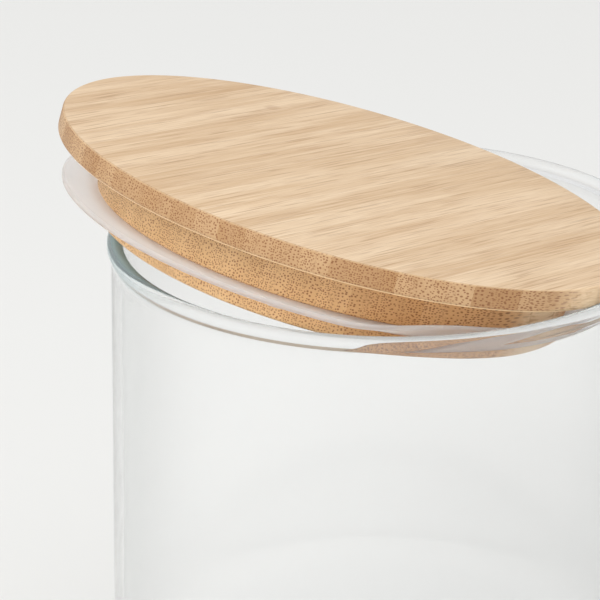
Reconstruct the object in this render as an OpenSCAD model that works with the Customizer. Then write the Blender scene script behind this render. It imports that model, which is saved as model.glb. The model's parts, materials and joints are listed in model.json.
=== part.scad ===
// Food canister: a glass jar, a turned bamboo lid board glued up from strips, and a silicone seal.
// The lid leans in the mouth of the jar, as it is put down when the jar is only half closed.
// Z = 0 is the table, and the jar's axis is the Z axis. The lid dips towards +X.

/* [Jar] */
// Outside diameter over the rolled rim
rim_d = 120; // [110:1:130]
// Height of the jar without its lid
jar_h = 120; // [90:1:150]
// Thickness of the side wall
wall_t = 2.1; // [1.8:0.1:2.6]
// Thickness of the rolled rim
rim_t = 3.4; // [3:0.1:4]
// How far the rolled rim stands out past the side wall
rim_proud = 0.9; // [0.5:0.1:1.2]
// Thickness of the floor
floor_t = 3.5; // [3:0.5:6]
// How far in from the wall the flat foot starts
foot_in = 14; // [10:1:20]
// Height over which the wall draws in to the foot
foot_h = 30; // [14:1:34]

/* [Lid board] */
// Diameter of the top disc that covers the rim
disc_d = 125.4; // [124:0.2:127]
// Thickness of the top disc at its edge
disc_t = 5.1; // [4:0.1:6]
// Thickness of the whole board
board_t = 20; // [19:0.5:24]
// Diameter of the plug under the disc
plug_d = 103.2; // [100:0.2:104]
// Diameter of the band under the seal
band_d = 100.8; // [99:0.2:102]
// Rounding of the disc's top edge
top_edge_r = 0.5; // [0.3:0.1:1.2]
// Rounding of the disc's lower edge
low_edge_r = 1.2; // [0.8:0.1:1.6]
// Number of bamboo strips glued side by side
strips = 22; // [16:1:26]
// Angle between the bamboo fibres and the direction the lid dips
fibre_turn = 40.3; // [0:0.1:90]

/* [Seal] */
// Outside diameter of the relaxed silicone seal
seal_d = 119; // [117:0.5:120]
// Depth of the seal groove below the top of the board
groove_z = 14.4; // [13.5:0.1:15]
// Height of the seal groove
groove_h = 2; // [1.8:0.1:2.4]
// Diameter at the bottom of the seal groove
groove_d = 97.2; // [96:0.2:98]
// Thickness of the seal's thin flange
flange_t = 1; // [0.8:0.1:1.1]
// Thickness of the round lip along the seal's edge
lip_t = 1.2; // [1:0.1:1.4]
// How steeply the relaxed flange has turned up at its lip
flange_rise = 16; // [8:1:18]

/* [How the lid rests] */
// How far the lid leans
lean = 15.4; // [15:0.1:16]
// Sideways shift of the lid's top centre from the jar's axis
lid_shift = -8.6; // [-8.8:0.1:-8.4]
// Height of the lid's top centre above the rim
lid_rise = 13.6; // [13.5:0.1:14.4]

/* [Hidden] */
strip_nodes = [for (i = [1 : strips]) str("lid_strip_", i < 10 ? "0" : "", i)];
$fn = 96;

rim_r = rim_d / 2;
wall_out = rim_r - rim_proud;
wall_in = wall_out - wall_t;
bead_r = rim_t / 2;

disc_r = disc_d / 2;
plug_r = plug_d / 2;
band_r = band_d / 2;
band_edge_r = 0.8;
strip_w = disc_d / strips;
strip_reach = disc_d;

// The seal: a root ring in the groove, then a flange that ends in a round lip.
fit_gap = 0.1;
root_in = groove_d / 2 + fit_gap;
root_out = plug_r - 0.2;
root_low = -groove_z - groove_h + fit_gap;
root_high = -groove_z - fit_gap;
flange_start = plug_r + 0.4;
flange_z = root_high - flange_t / 2;
lip_r = lip_t / 2;
flange_len = seal_d / 2 - lip_r - flange_start;

// Inside the mouth the flange is tucked up, away from the glass. It eases out of that where it crosses
// the rim, between pinch_at and pinch_at + pinch_span from the side that the lid dips to.
pinch_at = 78;
pinch_span = 30;
tuck_rise = 80;
tuck_squash = 0.17;
seal_steps = 72;
flange_steps = 5;
lip_steps = 5;

// Points along an oval arc with half axes rx and ry, from angle a to angle b.
function oval(x, y, rx, ry, a, b, n) =
    [for (i = [0 : n]) let (t = a + (b - a) * i / n) [x + rx * cos(t), y + ry * sin(t)]];

// Points along a round arc.
function arc(x, y, r, a, b, n) = oval(x, y, r, r, a, b, n);

// How far the flange is tucked up at one place round the lid, from 0 (relaxed) to 1.
function tuck(turn) =
    let (side = turn > 180 ? 360 - turn : turn, away = (side - pinch_at) / pinch_span)
    (1 + cos(180 * min(1, max(0, away)))) / 2;

// A point on the flange's middle surface: radius, height and slope at the share s of its length.
function flange_mid(s, tucked) =
    let (
        bend = flange_rise + (tuck_rise - flange_rise) * tucked,
        curve = flange_len * (1 - tuck_squash * tucked) * 180 / PI / bend,
        t = bend * s
    )
    [flange_start + curve * sin(t), flange_z + curve * (1 - cos(t)), t];

// The same point moved across the flange by d.
function flange_side(s, tucked, d) =
    let (m = flange_mid(s, tucked)) [m[0] - d * sin(m[2]), m[1] + d * cos(m[2])];

// Outline of the seal's section: bottom of the root, under the flange, round the lip and back.
function seal_section(turn) =
    let (
        tucked = tuck(turn),
        tip = flange_mid(1, tucked),
        neck = 1 - lip_r / flange_len,
        half = flange_t / 2
    )
    concat(
        [[root_in, root_low], [root_out, root_low]],
        [for (i = [0 : flange_steps]) flange_side(neck * i / flange_steps, tucked, -half)],
        arc(tip[0], tip[1], lip_r, tip[2] - 100, tip[2] + 100, lip_steps),
        [for (i = [flange_steps : -1 : 0]) flange_side(neck * i / flange_steps, tucked, half)],
        [[root_out, root_high], [root_in, root_high]]
    );

// Puts what is modelled around the lid's own axis, with its top at Z = 0, where the lid rests.
module in_mouth() {
    translate([lid_shift, 0, jar_h + lid_rise]) rotate([0, lean, 0]) children();
}

module glass_jar() {
    foot_x = wall_out - foot_in;
    outside = concat([[0, 0]], oval(foot_x, foot_h, foot_in, foot_h, -90, 0, 12));
    inside = oval(foot_x, foot_h, foot_in - wall_t, foot_h - floor_t, 0, -90, 12);
    neck_z = jar_h - bead_r;
    color("lightcyan", 0.35) rotate_extrude() {
        polygon(concat(outside, [[wall_out, neck_z], [wall_in, neck_z]], inside, [[0, floor_t]]));
        translate([rim_r - bead_r, neck_z]) circle(r = bead_r);
    }
}

module silicone_seal() {
    sections = [for (k = [0 : seal_steps - 1]) seal_section(360 * k / seal_steps)];
    n = len(sections[0]);
    points = [for (k = [0 : seal_steps - 1]) for (p = sections[k])
        let (turn = 360 * k / seal_steps) [p[0] * cos(turn), p[0] * sin(turn), p[1]]];
    faces = [for (k = [0 : seal_steps - 1]) for (i = [0 : n - 1])
        let (next = (k + 1) % seal_steps, j = (i + 1) % n)
        [k * n + i, k * n + j, next * n + j, next * n + i]];
    color("mistyrose") in_mouth() polyhedron(points, faces);
}

// The turned board before it is parted into strips.
module board() {
    rotate_extrude() polygon(concat(
        [[0, 0]],
        arc(disc_r - top_edge_r, -top_edge_r, top_edge_r, 90, 0, 4),
        arc(disc_r - low_edge_r, low_edge_r - disc_t, low_edge_r, 0, -90, 5),
        [[plug_r, -disc_t], [plug_r, -groove_z]],
        [[groove_d / 2, -groove_z], [groove_d / 2, -groove_z - groove_h]],
        [[band_r, -groove_z - groove_h]],
        arc(band_r - band_edge_r, band_edge_r - board_t, band_edge_r, 0, -90, 4),
        [[0, -board_t]]
    ));
}

module lid_strip(i) {
    side = (i - 1) * strip_w - disc_r;
    color(i % 2 == 0 ? "burlywood" : "tan") in_mouth() intersection() {
        board();
        rotate([0, 0, fibre_turn])
            translate([-strip_reach / 2, side, -board_t - 1])
                cube([strip_reach, strip_w, board_t + 2]);
    }
}

glass_jar();
silicone_seal();
for (i = [1 : strips])
    lid_strip(i);
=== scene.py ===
"""Food canister: a glass jar whose bamboo lid, with its silicone seal, leans in the open mouth.

Lengths are in metres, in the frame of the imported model. The lid has its own frame: +Z out of its top,
+X the way it dips, with the top's centre at the origin. The frame file's lid_turn joint gives its place.
"""

import json
import math

import bmesh
import bpy
from mathutils import Matrix, Vector


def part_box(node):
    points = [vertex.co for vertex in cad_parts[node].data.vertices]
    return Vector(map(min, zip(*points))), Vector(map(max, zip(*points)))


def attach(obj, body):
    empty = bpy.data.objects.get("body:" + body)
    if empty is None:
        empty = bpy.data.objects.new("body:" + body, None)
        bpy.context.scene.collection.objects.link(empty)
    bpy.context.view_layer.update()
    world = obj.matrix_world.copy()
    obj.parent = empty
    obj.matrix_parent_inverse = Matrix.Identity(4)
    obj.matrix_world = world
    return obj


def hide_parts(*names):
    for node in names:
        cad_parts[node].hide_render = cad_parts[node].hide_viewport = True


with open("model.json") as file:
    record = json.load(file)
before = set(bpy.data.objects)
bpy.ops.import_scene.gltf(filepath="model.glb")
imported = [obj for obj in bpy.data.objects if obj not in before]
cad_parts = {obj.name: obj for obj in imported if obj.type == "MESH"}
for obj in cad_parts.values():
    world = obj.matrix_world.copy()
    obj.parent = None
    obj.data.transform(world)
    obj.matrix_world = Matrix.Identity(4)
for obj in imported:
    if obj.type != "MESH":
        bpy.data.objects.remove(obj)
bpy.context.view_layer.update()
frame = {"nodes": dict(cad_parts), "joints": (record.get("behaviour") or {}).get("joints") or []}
MM = 0.001

# ---------------------------------------------------------------------------------------------- places
JAR_LOW, JAR_HIGH = (Vector(p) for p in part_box("glass_jar"))
RIM_R = (JAR_HIGH.y - JAR_LOW.y) / 2
JAR_H = JAR_HIGH.z
RIM_PROUD = 0.9 * MM
WALL_T = 2.1 * MM
WALL_OUT = RIM_R - RIM_PROUD
WALL_IN = WALL_OUT - WALL_T
BEAD_R = 1.7 * MM
BEAD_FROM = 6.2 * MM
BEAD_TO = 5.4 * MM
FLOOR_T = 3.5 * MM
FOOT_IN = 14 * MM
FOOT_H = 30 * MM
PUSH_UP = 0.4 * MM

TURN = next(j for j in frame["joints"] if j["name"] == "lid_turn")
LID_TOP = Vector(TURN["pos_m"])
LEAN = math.atan2(TURN["axis"][0], TURN["axis"][2])
LID = Matrix.Translation(LID_TOP) @ Matrix.Rotation(LEAN, 4, "Y")

DISC_R = 62.7 * MM
DISC_T = 5.1 * MM
BOARD_T = 20 * MM
PLUG_R = 51.6 * MM
BAND_R = 50.4 * MM
TOP_EDGE_R = 0.5 * MM
LOW_EDGE_R = 1.2 * MM
BAND_EDGE_R = 0.8 * MM
CHAMFER = 0.3 * MM
GROOVE_Z = 14.4 * MM
GROOVE_H = 2 * MM
GROOVE_R = 48.6 * MM
STRIPS = [n for n in sorted(frame["nodes"]) if n.startswith("lid_strip_")]
STRIP_W = 2 * DISC_R / len(STRIPS)
FIBRE_TURN = math.radians(40.3)
KNOT = (27.0 * MM, 36.6 * MM)
KNOT_REACH = (4.2 * MM, 1.9 * MM)

SEAL_R = 59.5 * MM
FLANGE_T = 1 * MM
LIP_R = 0.6 * MM
SEAL_GAP = 0.1 * MM
RELAXED_RISE = math.radians(16)
TUCKED_RISE = math.radians(80)
TUCK_SQUASH = 0.17
PINCH_AT = math.radians(78)
PINCH_SPAN = math.radians(30)
MARK_AT = math.radians(239)
MARK_HALF = math.radians(1.5)
MARK_PROUD = 0.12 * MM

ROUND_STEPS = 288
SEAL_STEPS = 720
FLANGE_STEPS = 12
LIP_SPAN = 110
FLOOR_REACH = 6.0

CAMERA_AT = (-0.2965, -0.8465, JAR_H + 0.3423)
CAMERA_TO = (-0.01935, 0.00106, JAR_H - 0.01334)
CAMERA_ROLL = math.radians(0.39)
LENS = 270


# ---------------------------------------------------------------------------------------------- meshes
def oval(x, y, rx, ry, a, b, n):
    """Points along an oval arc with half axes rx and ry, from a to b degrees."""
    turns = [math.radians(a + (b - a) * i / n) for i in range(n + 1)]
    return [(x + rx * math.cos(t), y + ry * math.sin(t)) for t in turns]


def arc(x, y, r, a, b, n):
    return oval(x, y, r, r, a, b, n)


def ease(p, p_way, q, q_way, n):
    """Points between p and q on a cubic that leaves p along p_way and meets q along q_way."""
    points = []
    for i in range(1, n):
        t = i / n
        a, b, c, d = 2 * t**3 - 3 * t**2 + 1, t**3 - 2 * t**2 + t, 3 * t**2 - 2 * t**3, t**3 - t**2
        points.append(tuple(a * p[k] + b * p_way[k] + c * q[k] + d * q_way[k] for k in (0, 1)))
    return points


def new_piece(name, bm, body, material, replaces, sharp=35):
    """Makes bm an object that rides on a CAD body and stands for CAD nodes."""
    mesh = bpy.data.meshes.new(name)
    bmesh.ops.recalc_face_normals(bm, faces=bm.faces)
    bm.edges.index_update()
    cut_edges = [e.index for e in bm.edges if not e.smooth]
    bm.to_mesh(mesh)
    bm.free()
    mesh.shade_smooth()
    mesh.set_sharp_from_angle(angle=math.radians(sharp))
    for i in cut_edges:
        mesh.edges[i].use_edge_sharp = True
    piece = bpy.data.objects.new(name, mesh)
    bpy.context.collection.objects.link(piece)
    mesh.materials.append(material)
    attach(piece, body)
    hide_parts(*replaces)


def revolve(outline, steps, place):
    """A closed solid made by turning an outline that starts and ends on the axis."""
    bm = bmesh.new()
    rings = []
    for r, z in outline:
        count = steps if r > 1e-9 else 1
        spots = [2 * math.pi * k / steps for k in range(count)]
        rings.append([bm.verts.new(place @ Vector((r * math.cos(t), r * math.sin(t), z))) for t in spots])
    for low, high in zip(rings, rings[1:]):
        for k in range(steps):
            n = (k + 1) % steps
            corners = [low[k % len(low)], low[n % len(low)], high[n % len(high)], high[k % len(high)]]
            bm.faces.new(list(dict.fromkeys(corners)))
    return bm


def jar_outline():
    """Half section of the jar: under the floor, up the outside, over the rolled rim and down the inside."""
    x, z = RIM_R - BEAD_R, JAR_H - BEAD_R
    foot = WALL_OUT - FOOT_IN
    under = [(0, PUSH_UP), (foot * 0.5, PUSH_UP), (foot * 0.86, PUSH_UP * 0.7)]
    under += ease(under[-1], (3 * MM, -0.2 * MM), (foot, 0), (3 * MM, 0), 5)
    bead = arc(x, z, BEAD_R, -42, 205, 36)
    start, end = (WALL_OUT, JAR_H - BEAD_FROM), (WALL_IN, JAR_H - BEAD_TO)
    rise = ease(start, (0, 3 * MM), bead[0], (1.6 * MM, 1.8 * MM), 10)
    fall = ease(bead[-1], (0.9 * MM, -2.0 * MM), end, (0, -2.4 * MM), 10)
    outside = under + oval(foot, FOOT_H, FOOT_IN, FOOT_H, -90, 0, 36) + [start] + rise
    inside = fall + [end] + oval(foot, FOOT_H, WALL_IN - foot, FOOT_H - FLOOR_T, 0, -90, 36)
    return outside + bead + inside + [(0, FLOOR_T)]


def make_jar(material):
    """The jar, turned about its own axis."""
    whole = revolve(jar_outline(), ROUND_STEPS, Matrix.Identity(4))
    new_piece("jar_glass", whole, "jar", material, ["glass_jar"])


def board_outline():
    """Half section of the turned lid board, from the top's centre to the underside's."""
    disc = arc(DISC_R - TOP_EDGE_R, -TOP_EDGE_R, TOP_EDGE_R, 90, 0, 6)
    disc += arc(DISC_R - LOW_EDGE_R, LOW_EDGE_R - DISC_T, LOW_EDGE_R, 0, -90, 8)
    plug = [(PLUG_R + CHAMFER, -DISC_T), (PLUG_R, -DISC_T - CHAMFER), (PLUG_R, CHAMFER - GROOVE_Z)]
    plug += [(PLUG_R - CHAMFER, -GROOVE_Z)]
    groove = [(GROOVE_R, -GROOVE_Z), (GROOVE_R, -GROOVE_Z - GROOVE_H)]
    band = [(BAND_R - CHAMFER, -GROOVE_Z - GROOVE_H), (BAND_R, -GROOVE_Z - GROOVE_H - CHAMFER)]
    band += arc(BAND_R - BAND_EDGE_R, BAND_EDGE_R - BOARD_T, BAND_EDGE_R, 0, -90, 6)
    return [(0, 0)] + disc + plug + groove + band + [(0, -BOARD_T)]


def keep_side(bm, point, way):
    """Cuts bm by a plane, drops what lies along way, and closes the cut."""
    parts = bm.verts[:] + bm.edges[:] + bm.faces[:]
    cut = bmesh.ops.bisect_plane(bm, geom=parts, plane_co=point, plane_no=way, clear_outer=True, dist=1e-7)
    edges = [e for e in cut["geom_cut"] if isinstance(e, bmesh.types.BMEdge)]
    for e in edges:
        e.smooth = False
    bmesh.ops.triangle_fill(bm, use_beauty=True, edges=edges)


def make_board(material):
    """Every strip of the lid: the turned board, parted along the glue lines."""
    whole = revolve(board_outline(), ROUND_STEPS, LID)
    across = LID.to_3x3() @ Vector((-math.sin(FIBRE_TURN), math.cos(FIBRE_TURN), 0))
    for i, node in enumerate(STRIPS):
        bm = whole.copy()
        low, high = (LID_TOP + across * (STRIP_W * k - DISC_R) for k in (i, i + 1))
        if i > 0:
            keep_side(bm, low, -across)
        if i < len(STRIPS) - 1:
            keep_side(bm, high, across)
        new_piece(f"bamboo_{node[4:]}", bm, "board", material, [node])
    whole.free()


def tuck(turn):
    """How far the rim has tucked the flange up at one place round the lid, from 0 (relaxed) to 1."""
    side = abs((turn + math.pi) % (2 * math.pi) - math.pi)
    return (1 + math.cos(math.pi * min(1, max(0, (side - PINCH_AT) / PINCH_SPAN)))) / 2


def seal_section(turn):
    """Section of the seal: the root in its groove, the thin flange and the round lip."""
    low, high = -GROOVE_Z - GROOVE_H + SEAL_GAP, -GROOVE_Z - SEAL_GAP
    root_in, root_out, start = GROOVE_R + SEAL_GAP, PLUG_R - 0.2 * MM, PLUG_R + 0.4 * MM
    tucked = tuck(turn)
    rise = RELAXED_RISE + (TUCKED_RISE - RELAXED_RISE) * tucked
    length = (SEAL_R - LIP_R - start) * (1 - TUCK_SQUASH * tucked)
    middle, bend, half = high - FLANGE_T / 2, length / rise, FLANGE_T / 2

    def spot(share, aside):
        t = rise * share
        out = start + bend * math.sin(t) - aside * math.sin(t)
        up = middle + bend * (1 - math.cos(t)) + aside * math.cos(t)
        return (out, up)

    mark = MARK_PROUD if abs(turn - MARK_AT) < MARK_HALF else 0
    steps = [(1 - LIP_R / length) * k / FLANGE_STEPS for k in range(FLANGE_STEPS + 1)]
    way = math.degrees(rise)
    lip = arc(*spot(1, 0), LIP_R + mark, way - LIP_SPAN, way + LIP_SPAN, 14)
    under = [spot(s, -half) for s in steps]
    over = [spot(s, half) for s in reversed(steps)]
    return [(root_in, low), (root_out, low)] + under + lip + over + [(root_out, high), (root_in, high)]


def make_seal(material):
    """The moulded ring, swept round the lid, with the small square mark that its mould leaves."""
    bm = bmesh.new()
    rings = []
    for k in range(SEAL_STEPS):
        t = 2 * math.pi * k / SEAL_STEPS
        section = seal_section(t)
        rings.append([bm.verts.new(LID @ Vector((r * math.cos(t), r * math.sin(t), z))) for r, z in section])
    for k in range(SEAL_STEPS):
        here, after = rings[k], rings[(k + 1) % SEAL_STEPS]
        for i in range(len(here)):
            j = (i + 1) % len(here)
            bm.faces.new((here[i], here[j], after[j], after[i]))
    new_piece("silicone_ring", bm, "seal", material, ["silicone_seal"], sharp=50)


# ---------------------------------------------------------------------------------------------- shaders
class Shader:
    """Short names for building one material's nodes."""

    def __init__(self, name):
        self.material = bpy.data.materials.new(name)
        self.material.use_nodes = True
        self.tree = self.material.node_tree
        self.tree.nodes.clear()
        self.out = self.tree.nodes.new("ShaderNodeOutputMaterial")

    def set(self, socket, value):
        if isinstance(value, bpy.types.NodeSocket):
            self.tree.links.new(value, socket)
        else:
            socket.default_value = value

    def add(self, kind, settings=None, **inputs):
        node = self.tree.nodes.new("ShaderNode" + kind)
        for key, value in (settings or {}).items():
            setattr(node, key, value)
        for key, value in inputs.items():
            self.set(node.inputs[key.replace("_", " ")], value)
        return node

    def math(self, operation, a, b=0.0):
        node = self.add("Math", {"operation": operation})
        self.set(node.inputs[0], a)
        self.set(node.inputs[1], b)
        return node.outputs[0]

    def times(self, a, b):
        return self.math("MULTIPLY", a, b)

    def plus(self, a, b):
        return self.math("ADD", a, b)

    def minus(self, a, b):
        return self.math("SUBTRACT", a, b)

    def over(self, a, b):
        return self.math("DIVIDE", a, b)

    def step(self, value, low, high, to_low=0.0, to_high=1.0):
        """A smooth ramp from to_low, where value is low, to to_high, where it is high."""
        node = self.add("MapRange", {"interpolation_type": "SMOOTHSTEP"})
        keys = ("Value", "From Min", "From Max", "To Min", "To Max")
        for key, x in zip(keys, (value, low, high, to_low, to_high)):
            self.set(node.inputs[key], x)
        return node.outputs[0]

    def mix(self, share, a, b):
        """Two colours mixed, with b's share given."""
        node = self.add("Mix", {"data_type": "RGBA", "clamp_factor": True})
        self.set(node.inputs[0], share)
        self.set(node.inputs[6], a)
        self.set(node.inputs[7], b)
        return node.outputs[2]

    def vector(self, x, y, z):
        return self.add("CombineXYZ", X=x, Y=y, Z=z).outputs[0]

    def scaled(self, v, x, y, z):
        node = self.add("VectorMath", {"operation": "MULTIPLY"})
        self.set(node.inputs[0], v)
        node.inputs[1].default_value = (x, y, z)
        return node.outputs[0]

    def noise(self, v, detail=2.0, rough=0.5):
        node = self.add("TexNoise", Vector=v, Scale=1.0, Detail=detail, Roughness=rough)
        return node.outputs[0]

    def from_axis(self, x, y):
        """How far a spot is from the axis that x and y are measured from."""
        squares = [self.times(v, v) for v in (x, y)]
        return self.math("SQRT", self.plus(*squares))

    def in_lid(self, where, place):
        """The x, y and z of a spot, measured from the lid's top in the turned frame of place."""
        mapping = self.add("Mapping", {"vector_type": "TEXTURE"}, Vector=where.outputs["Object"])
        mapping.inputs["Location"].default_value = LID_TOP
        mapping.inputs["Rotation"].default_value = place.to_euler("XYZ")
        return self.add("SeparateXYZ", Vector=mapping.outputs[0]).outputs

    def blend(self, share, a, b):
        """Two shaders mixed, with b's share given."""
        node = self.add("MixShader")
        self.set(node.inputs[0], share)
        self.set(node.inputs[1], a.outputs[0])
        self.set(node.inputs[2], b.outputs[0])
        return node

    def let_light_by(self, shader, tint):
        """The same look, but light on its way from a lamp passes straight through, tinted."""
        through = self.add("BsdfTransparent", Color=tint)
        return self.blend(self.add("LightPath").outputs["Is Shadow Ray"], shader, through)

    def surface(self, shader):
        self.tree.links.new(shader.outputs[0], self.out.inputs["Surface"])


def rgb(r, g, b):
    """A colour given as 0 to 255 display values."""
    def linear(v):
        v /= 255
        return v / 12.92 if v <= 0.04045 else ((v + 0.055) / 1.055) ** 2.4
    return (linear(r), linear(g), linear(b), 1.0)


def bundles(s, y, z, size, low, high):
    """Mask of the vascular bundles that run along the strip: dots in the end grain, dashes along it.

    They stand size apart, and their radius is low to high times that.
    """
    cells = s.add("TexVoronoi", {"voronoi_dimensions": "2D"}, Scale=1.0, Randomness=0.7)
    s.set(cells.inputs["Vector"], s.vector(s.over(y, size), s.over(z, size), 0.0))
    tone = s.add("SeparateColor", Color=cells.outputs["Color"])
    reach = s.step(tone.outputs[0], 0.0, 1.0, low, high)
    edge = s.over(cells.outputs["Distance"], reach)
    return s.step(edge, 0.45, 1.15, 1.0, 0.0)


def bamboo():
    """Laminated bamboo on edge: strips of their own tone, fibres along them, bundles dense on one side."""
    s = Shader("bamboo")
    place = LID.to_3x3() @ Matrix.Rotation(FIBRE_TURN, 3, "Z")
    where = s.add("TexCoord")
    x, y, z = s.in_lid(where, place)

    # Which strip, where across it, and its own random values.
    across = s.plus(s.over(y, STRIP_W), len(STRIPS) / 2)
    index = s.math("FLOOR", across)
    share = s.math("FRACT", across)
    own = s.add("TexWhiteNoise", {"noise_dimensions": "1D"}, W=s.plus(index, 3.7))
    picks = s.add("SeparateColor", Color=own.outputs["Color"])
    side = s.add("Mix", Factor=s.math("GREATER_THAN", picks.outputs[0], 0.4))
    s.set(side.inputs[2], share)
    s.set(side.inputs[3], s.minus(1.0, share))
    side = side.outputs[0]
    offset = s.times(index, 0.37)

    def grain(along, beside, deep, detail, rough=0.5):
        """Noise drawn out along the fibres, given in features per metre."""
        own_y = s.plus(s.times(y, beside), s.times(index, 7.1))
        at = s.vector(s.times(x, along), own_y, s.times(z, deep))
        return s.noise(at, detail, rough)

    # The fibres wander a little, so a bundle comes up to the surface and goes under again.
    wander = s.times(s.minus(grain(22, 130, 130, 2.0), 0.5), 0.9 * MM)
    sink = s.times(s.minus(grain(26, 170, 130, 3.0), 0.5), 1.6 * MM)
    by = s.plus(s.plus(y, wander), offset)
    bz = s.plus(z, sink)

    # How square the surface stands to the fibres: 0 on the top, 1 where the end grain shows.
    facing = s.add("VectorMath", {"operation": "DOT_PRODUCT"})
    s.set(facing.inputs[0], where.outputs["Normal"])
    facing.inputs[1].default_value = place @ Vector((1, 0, 0))
    end = s.step(s.math("ABSOLUTE", facing.outputs["Value"]), 0.05, 0.3)

    dots = s.add("Mix", Factor=s.step(side, 0.3, 0.7))
    s.set(dots.inputs[2], bundles(s, by, bz, 0.48 * MM, 0.27, 0.41))
    s.set(dots.inputs[3], bundles(s, by, bz, 0.66 * MM, 0.23, 0.36))
    dots = dots.outputs[0]

    fine = grain(60, 3600, 3600, 3.0, 0.6)
    streak = grain(8, 1000, 420, 4.0, 0.6)
    hair = grain(36, 2000, 900, 2.0, 0.5)
    pale = grain(13, 1500, 700, 3.0, 0.55)
    broad = grain(9, 150, 90, 2.0)
    blotch = grain(160, 160, 160, 2.0)

    # The long grain of the top.
    top = s.mix(s.step(streak, 0.32, 0.68), rgb(218, 187, 149), rgb(204, 170, 131))
    top = s.mix(s.times(picks.outputs[1], 0.55), top, rgb(200, 164, 121))
    top = s.mix(s.times(picks.outputs[2], 0.3), top, rgb(240, 216, 182))
    top = s.mix(s.step(broad, 0.4, 0.62, 0.0, 0.6), top, rgb(238, 213, 180))
    top = s.mix(s.step(pale, 0.54, 0.68, 0.0, 0.42), top, rgb(239, 216, 184))
    top = s.mix(s.step(fine, 0.35, 0.75, 0.0, 0.4), top, rgb(184, 146, 102))
    top = s.mix(s.step(hair, 0.58, 0.67, 0.0, 0.5), top, rgb(160, 120, 78))
    dash = s.times(dots, s.step(grain(110, 500, 500, 1.0), 0.4, 0.65, 0.0, 0.24))
    top = s.mix(dash, top, rgb(158, 114, 76))

    # A small knot scar, as nodes of the cane leave.
    off = [s.over(s.minus(v, at), reach)
           for v, at, reach in zip((x, y), KNOT, KNOT_REACH)]
    away = s.from_axis(*off)
    top = s.mix(s.times(s.step(away, 0.2, 0.95, 1.0, 0.0), 0.45), top, rgb(172, 132, 92))

    # End grain drinks more of the oil, so it is darker and more orange.
    ends = s.mix(s.step(fine, 0.3, 0.7), rgb(183, 147, 108), rgb(166, 128, 87))
    ends = s.mix(s.step(side, 0.75, 0.05, 0.0, 0.5), ends, rgb(174, 134, 90))
    ends = s.mix(s.times(picks.outputs[2], 0.68), ends, rgb(148, 104, 60))
    ends = s.mix(s.times(picks.outputs[0], 0.5), ends, rgb(208, 176, 136))
    ends = s.mix(s.step(blotch, 0.45, 0.75, 0.0, 0.3), ends, rgb(160, 118, 74))
    # Painted light and shade on the plug and band under the disc: paler on the raised side, darker and more
    # orange towards the side that dips, in the disc's shade.
    below = s.step(z, -DISC_T + 0.1 * MM, -DISC_T - 0.5 * MM)
    turned = (s.times(x, math.cos(FIBRE_TURN)), s.times(y, math.sin(FIBRE_TURN)))
    aside = s.minus(*turned)
    plug_light_and_shade = s.mix(s.step(aside, -0.9 * PLUG_R, 0.3 * PLUG_R), rgb(244, 206, 152), rgb(216, 152, 82))
    ends = s.mix(s.times(below, 0.42), ends, plug_light_and_shade)
    ends = s.mix(s.times(dots, 0.78), ends, rgb(112, 58, 22))
    colour = s.mix(end, top, ends)

    # Painted highlights: a pale line along the disc's lower edge and a fainter one along its top edge, where
    # the rounded edges catch the light. The glue line is only a hair wide.
    far = s.from_axis(x, y)
    near_low = s.step(z, -DISC_T + 0.55 * MM, -DISC_T + 0.3 * MM)
    near_top = s.step(z, -0.3 * MM, -0.12 * MM)
    low_edge_highlight = s.times(s.step(far, DISC_R - 1.0 * MM, DISC_R - 0.5 * MM), near_low)
    top_edge_highlight = s.times(s.step(far, DISC_R - 0.5 * MM, DISC_R - 0.3 * MM), near_top)
    colour = s.mix(s.times(low_edge_highlight, 0.8), colour, rgb(244, 208, 160))
    colour = s.mix(s.times(top_edge_highlight, 0.3), colour, rgb(236, 208, 168))
    glue = s.step(s.math("ABSOLUTE", s.minus(share, 0.5)), 0.49, 0.5, 0.0, 0.22)
    colour = s.mix(glue, colour, rgb(150, 104, 62))

    height = s.plus(s.times(fine, 0.5), s.times(dots, -0.8))
    bump = s.add("Bump", Strength=0.22, Distance=0.06 * MM, Height=height)
    rough = s.step(fine, 0.2, 0.8, 0.42, 0.6)
    skin = s.add("BsdfPrincipled", Base_Color=colour, Roughness=rough, Normal=bump.outputs[0])
    skin.inputs["Specular IOR Level"].default_value = 0.4
    skin.inputs["Coat Weight"].default_value = 0.04
    skin.inputs["Coat Roughness"].default_value = 0.35
    s.surface(skin)
    return s.material


def silicone():
    """Milky silicone that lets some light through."""
    s = Shader("silicone")
    where = s.add("TexCoord")
    cloud = s.noise(s.scaled(where.outputs["Object"], 220, 220, 220), 3.0)
    matte = s.noise(s.scaled(where.outputs["Object"], 2600, 2600, 2600), 2.0)
    colour = s.mix(cloud, rgb(253, 253, 254), rgb(249, 249, 250))

    # Painted warmth next to the plug: the wood's colour seen through the thin silicone and bounced onto it
    # in the shade under the disc.
    x, y, _ = s.in_lid(where, LID)
    root = s.step(s.from_axis(x, y), PLUG_R + 3.0 * MM, PLUG_R + 0.2 * MM, 0.0, 0.2)
    colour = s.mix(root, colour, rgb(232, 198, 166))
    bump = s.add("Bump", Strength=0.12, Distance=0.03 * MM, Height=matte)
    skin = s.add("BsdfPrincipled", Base_Color=colour, Normal=bump.outputs[0])
    skin.inputs["Roughness"].default_value = 0.4
    skin.inputs["IOR"].default_value = 1.41
    skin.inputs["Transmission Weight"].default_value = 0.85
    milky = s.blend(0.38, skin, s.add("BsdfTranslucent", Color=colour))
    s.surface(s.let_light_by(milky, rgb(236, 230, 228)))
    return s.material


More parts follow.
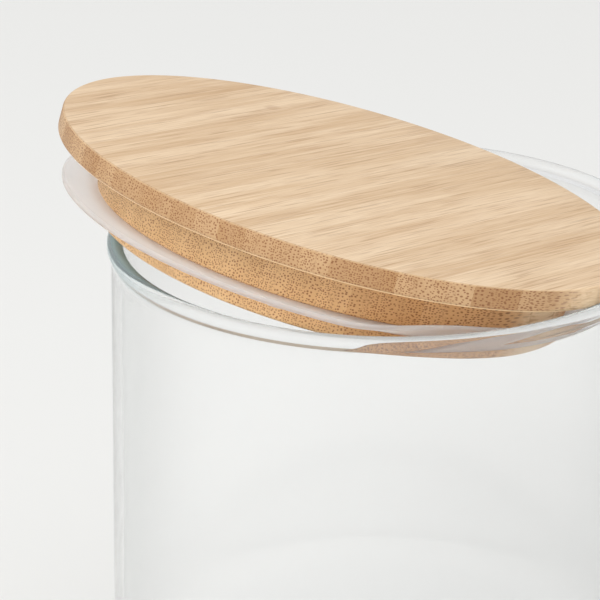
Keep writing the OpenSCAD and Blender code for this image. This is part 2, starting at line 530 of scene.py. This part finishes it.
def glass():
    """Clear glass with the faint blue-green that shows along its edges."""
    s = Shader("glass")
    where = s.add("TexCoord")
    ripple = s.noise(s.scaled(where.outputs["Object"], 30, 30, 9), 2.0)
    bump = s.add("Bump", Strength=0.06, Distance=0.2 * MM, Height=ripple)
    graze = s.add("LayerWeight", Blend=0.5).outputs["Facing"]
    x, y, z = s.add("SeparateXYZ", Vector=where.outputs["Object"]).outputs
    # Where the wall is looked at along its length, the rim shows its own colour.
    outward = s.add("VectorMath", {"operation": "NORMALIZE"})
    s.set(outward.inputs[0], s.vector(x, y, 0.0))
    aside = s.add("LayerWeight", Blend=0.5, Normal=outward.outputs[0]).outputs["Facing"]
    far = s.from_axis(x, y)
    tinted = s.times(s.step(aside, 0.38, 0.8), s.step(z, JAR_H - 4.2 * MM, JAR_H - 2.6 * MM))
    tinted = s.times(tinted, s.step(far, RIM_R - 0.3 * MM, RIM_R - 1.5 * MM, 0.35, 1.0))
    # Greyer where the wall is seen at a slant.
    colour = s.mix(s.step(graze, 0.25, 0.75), (1, 1, 1, 1), (0.85, 0.855, 0.855, 1))
    colour = s.mix(tinted, colour, (0.74, 0.93, 0.95, 1))
    skin = s.add("BsdfPrincipled", Base_Color=colour, Normal=bump.outputs[0])
    skin.inputs["Roughness"].default_value = 0.0
    skin.inputs["IOR"].default_value = 1.48
    skin.inputs["Transmission Weight"].default_value = 0.96
    # A diffuse blue-green painted on the rim's steep sides stands in for light that the rim leads along
    # inside itself.
    painted_rim_light = s.add("BsdfDiffuse", Color=rgb(158, 182, 186))
    edge = s.blend(s.times(tinted, 0.72), skin, painted_rim_light)
    s.surface(s.let_light_by(edge, (0.935, 0.94, 0.94, 1)))
    tint = s.add("VolumeAbsorption", Color=(0.15, 0.28, 0.28, 1), Density=9.0)
    s.tree.links.new(tint.outputs[0], s.out.inputs["Volume"])
    return s.material


def plain(name, colour, roughness):
    """One even colour."""
    s = Shader(name)
    skin = s.add("BsdfPrincipled", Base_Color=colour)
    skin.inputs["Roughness"].default_value = roughness
    s.surface(skin)
    return s.material


# ---------------------------------------------------------------------------------------------- stage
def look_at(thing, target, roll=0.0):
    """Turns a camera or a lamp to face target."""
    way = (Vector(target) - thing.location).normalized()
    turn = way.to_track_quat("-Z", "Y").to_matrix() @ Matrix.Rotation(roll, 3, "Z")
    thing.rotation_euler = turn.to_euler()


def soft_light(name, place, size, power):
    """A wide lamp aimed at the mouth, seen by neither reflections nor the view through the glass."""
    data = bpy.data.lights.new(name, "AREA")
    data.shape = "RECTANGLE"
    data.size, data.size_y = size
    data.energy = power
    lamp = bpy.data.objects.new(name, data)
    lamp.location = place
    bpy.context.collection.objects.link(lamp)
    look_at(lamp, (0, 0, JAR_H))
    lamp.visible_glossy = False
    lamp.visible_transmission = False


def make_stage():
    """A pale floor, a white studio round it and four soft lamps."""
    floor_mesh = bpy.data.meshes.new("floor")
    corners = [(x * FLOOR_REACH, y * FLOOR_REACH, 0) for x, y in ((-1, -1), (1, -1), (1, 1), (-1, 1))]
    floor_mesh.from_pydata(corners, [], [(0, 1, 2, 3)])
    floor = bpy.data.objects.new("floor", floor_mesh)
    floor_mesh.materials.append(plain("floor", rgb(228, 228, 226), 0.8))
    bpy.context.collection.objects.link(floor)

    # The studio's walls: bright above, dimmer towards the floor.
    world = bpy.data.worlds.new("studio")
    bpy.context.scene.world = world
    world.use_nodes = True
    tree = world.node_tree
    where = tree.nodes.new("ShaderNodeTexCoord")
    axes = tree.nodes.new("ShaderNodeSeparateXYZ")
    ramp = tree.nodes.new("ShaderNodeMapRange")
    ramp.interpolation_type = "SMOOTHSTEP"
    for key, x in (("From Min", -0.1), ("From Max", 0.7), ("To Min", 0.77), ("To Max", 0.95)):
        ramp.inputs[key].default_value = x
    tree.links.new(where.outputs["Generated"], axes.inputs[0])
    tree.links.new(axes.outputs["Z"], ramp.inputs["Value"])
    tree.links.new(ramp.outputs[0], tree.nodes["Background"].inputs["Strength"])
    tree.nodes["Background"].inputs["Color"].default_value = (1, 1, 1, 1)

    soft_light("key", (-0.55, -0.58, 0.78), (0.35, 0.3), 2.2)
    soft_light("top", (-0.95, -0.4, 1.0), (0.6, 0.5), 3.8)
    soft_light("side", (-1.1, -0.5, 0.1), (0.7, 0.5), 2.8)
    soft_light("front", (0.6, -1.0, 0.06), (0.8, 0.3), 4.4)
    bpy.context.scene.view_settings.view_transform = "Standard"


def make_camera():
    """The photograph's angle: a long lens from the front, a little to the left and above."""
    data = bpy.data.cameras.new("camera")
    data.sensor_width = 36
    data.lens = LENS
    data.clip_end = 20
    camera = bpy.data.objects.new("camera", data)
    camera.location = CAMERA_AT
    bpy.context.collection.objects.link(camera)
    look_at(camera, CAMERA_TO, CAMERA_ROLL)
    bpy.context.scene.camera = camera


make_camera()
make_stage()
make_jar(glass())
make_seal(silicone())
make_board(bamboo())
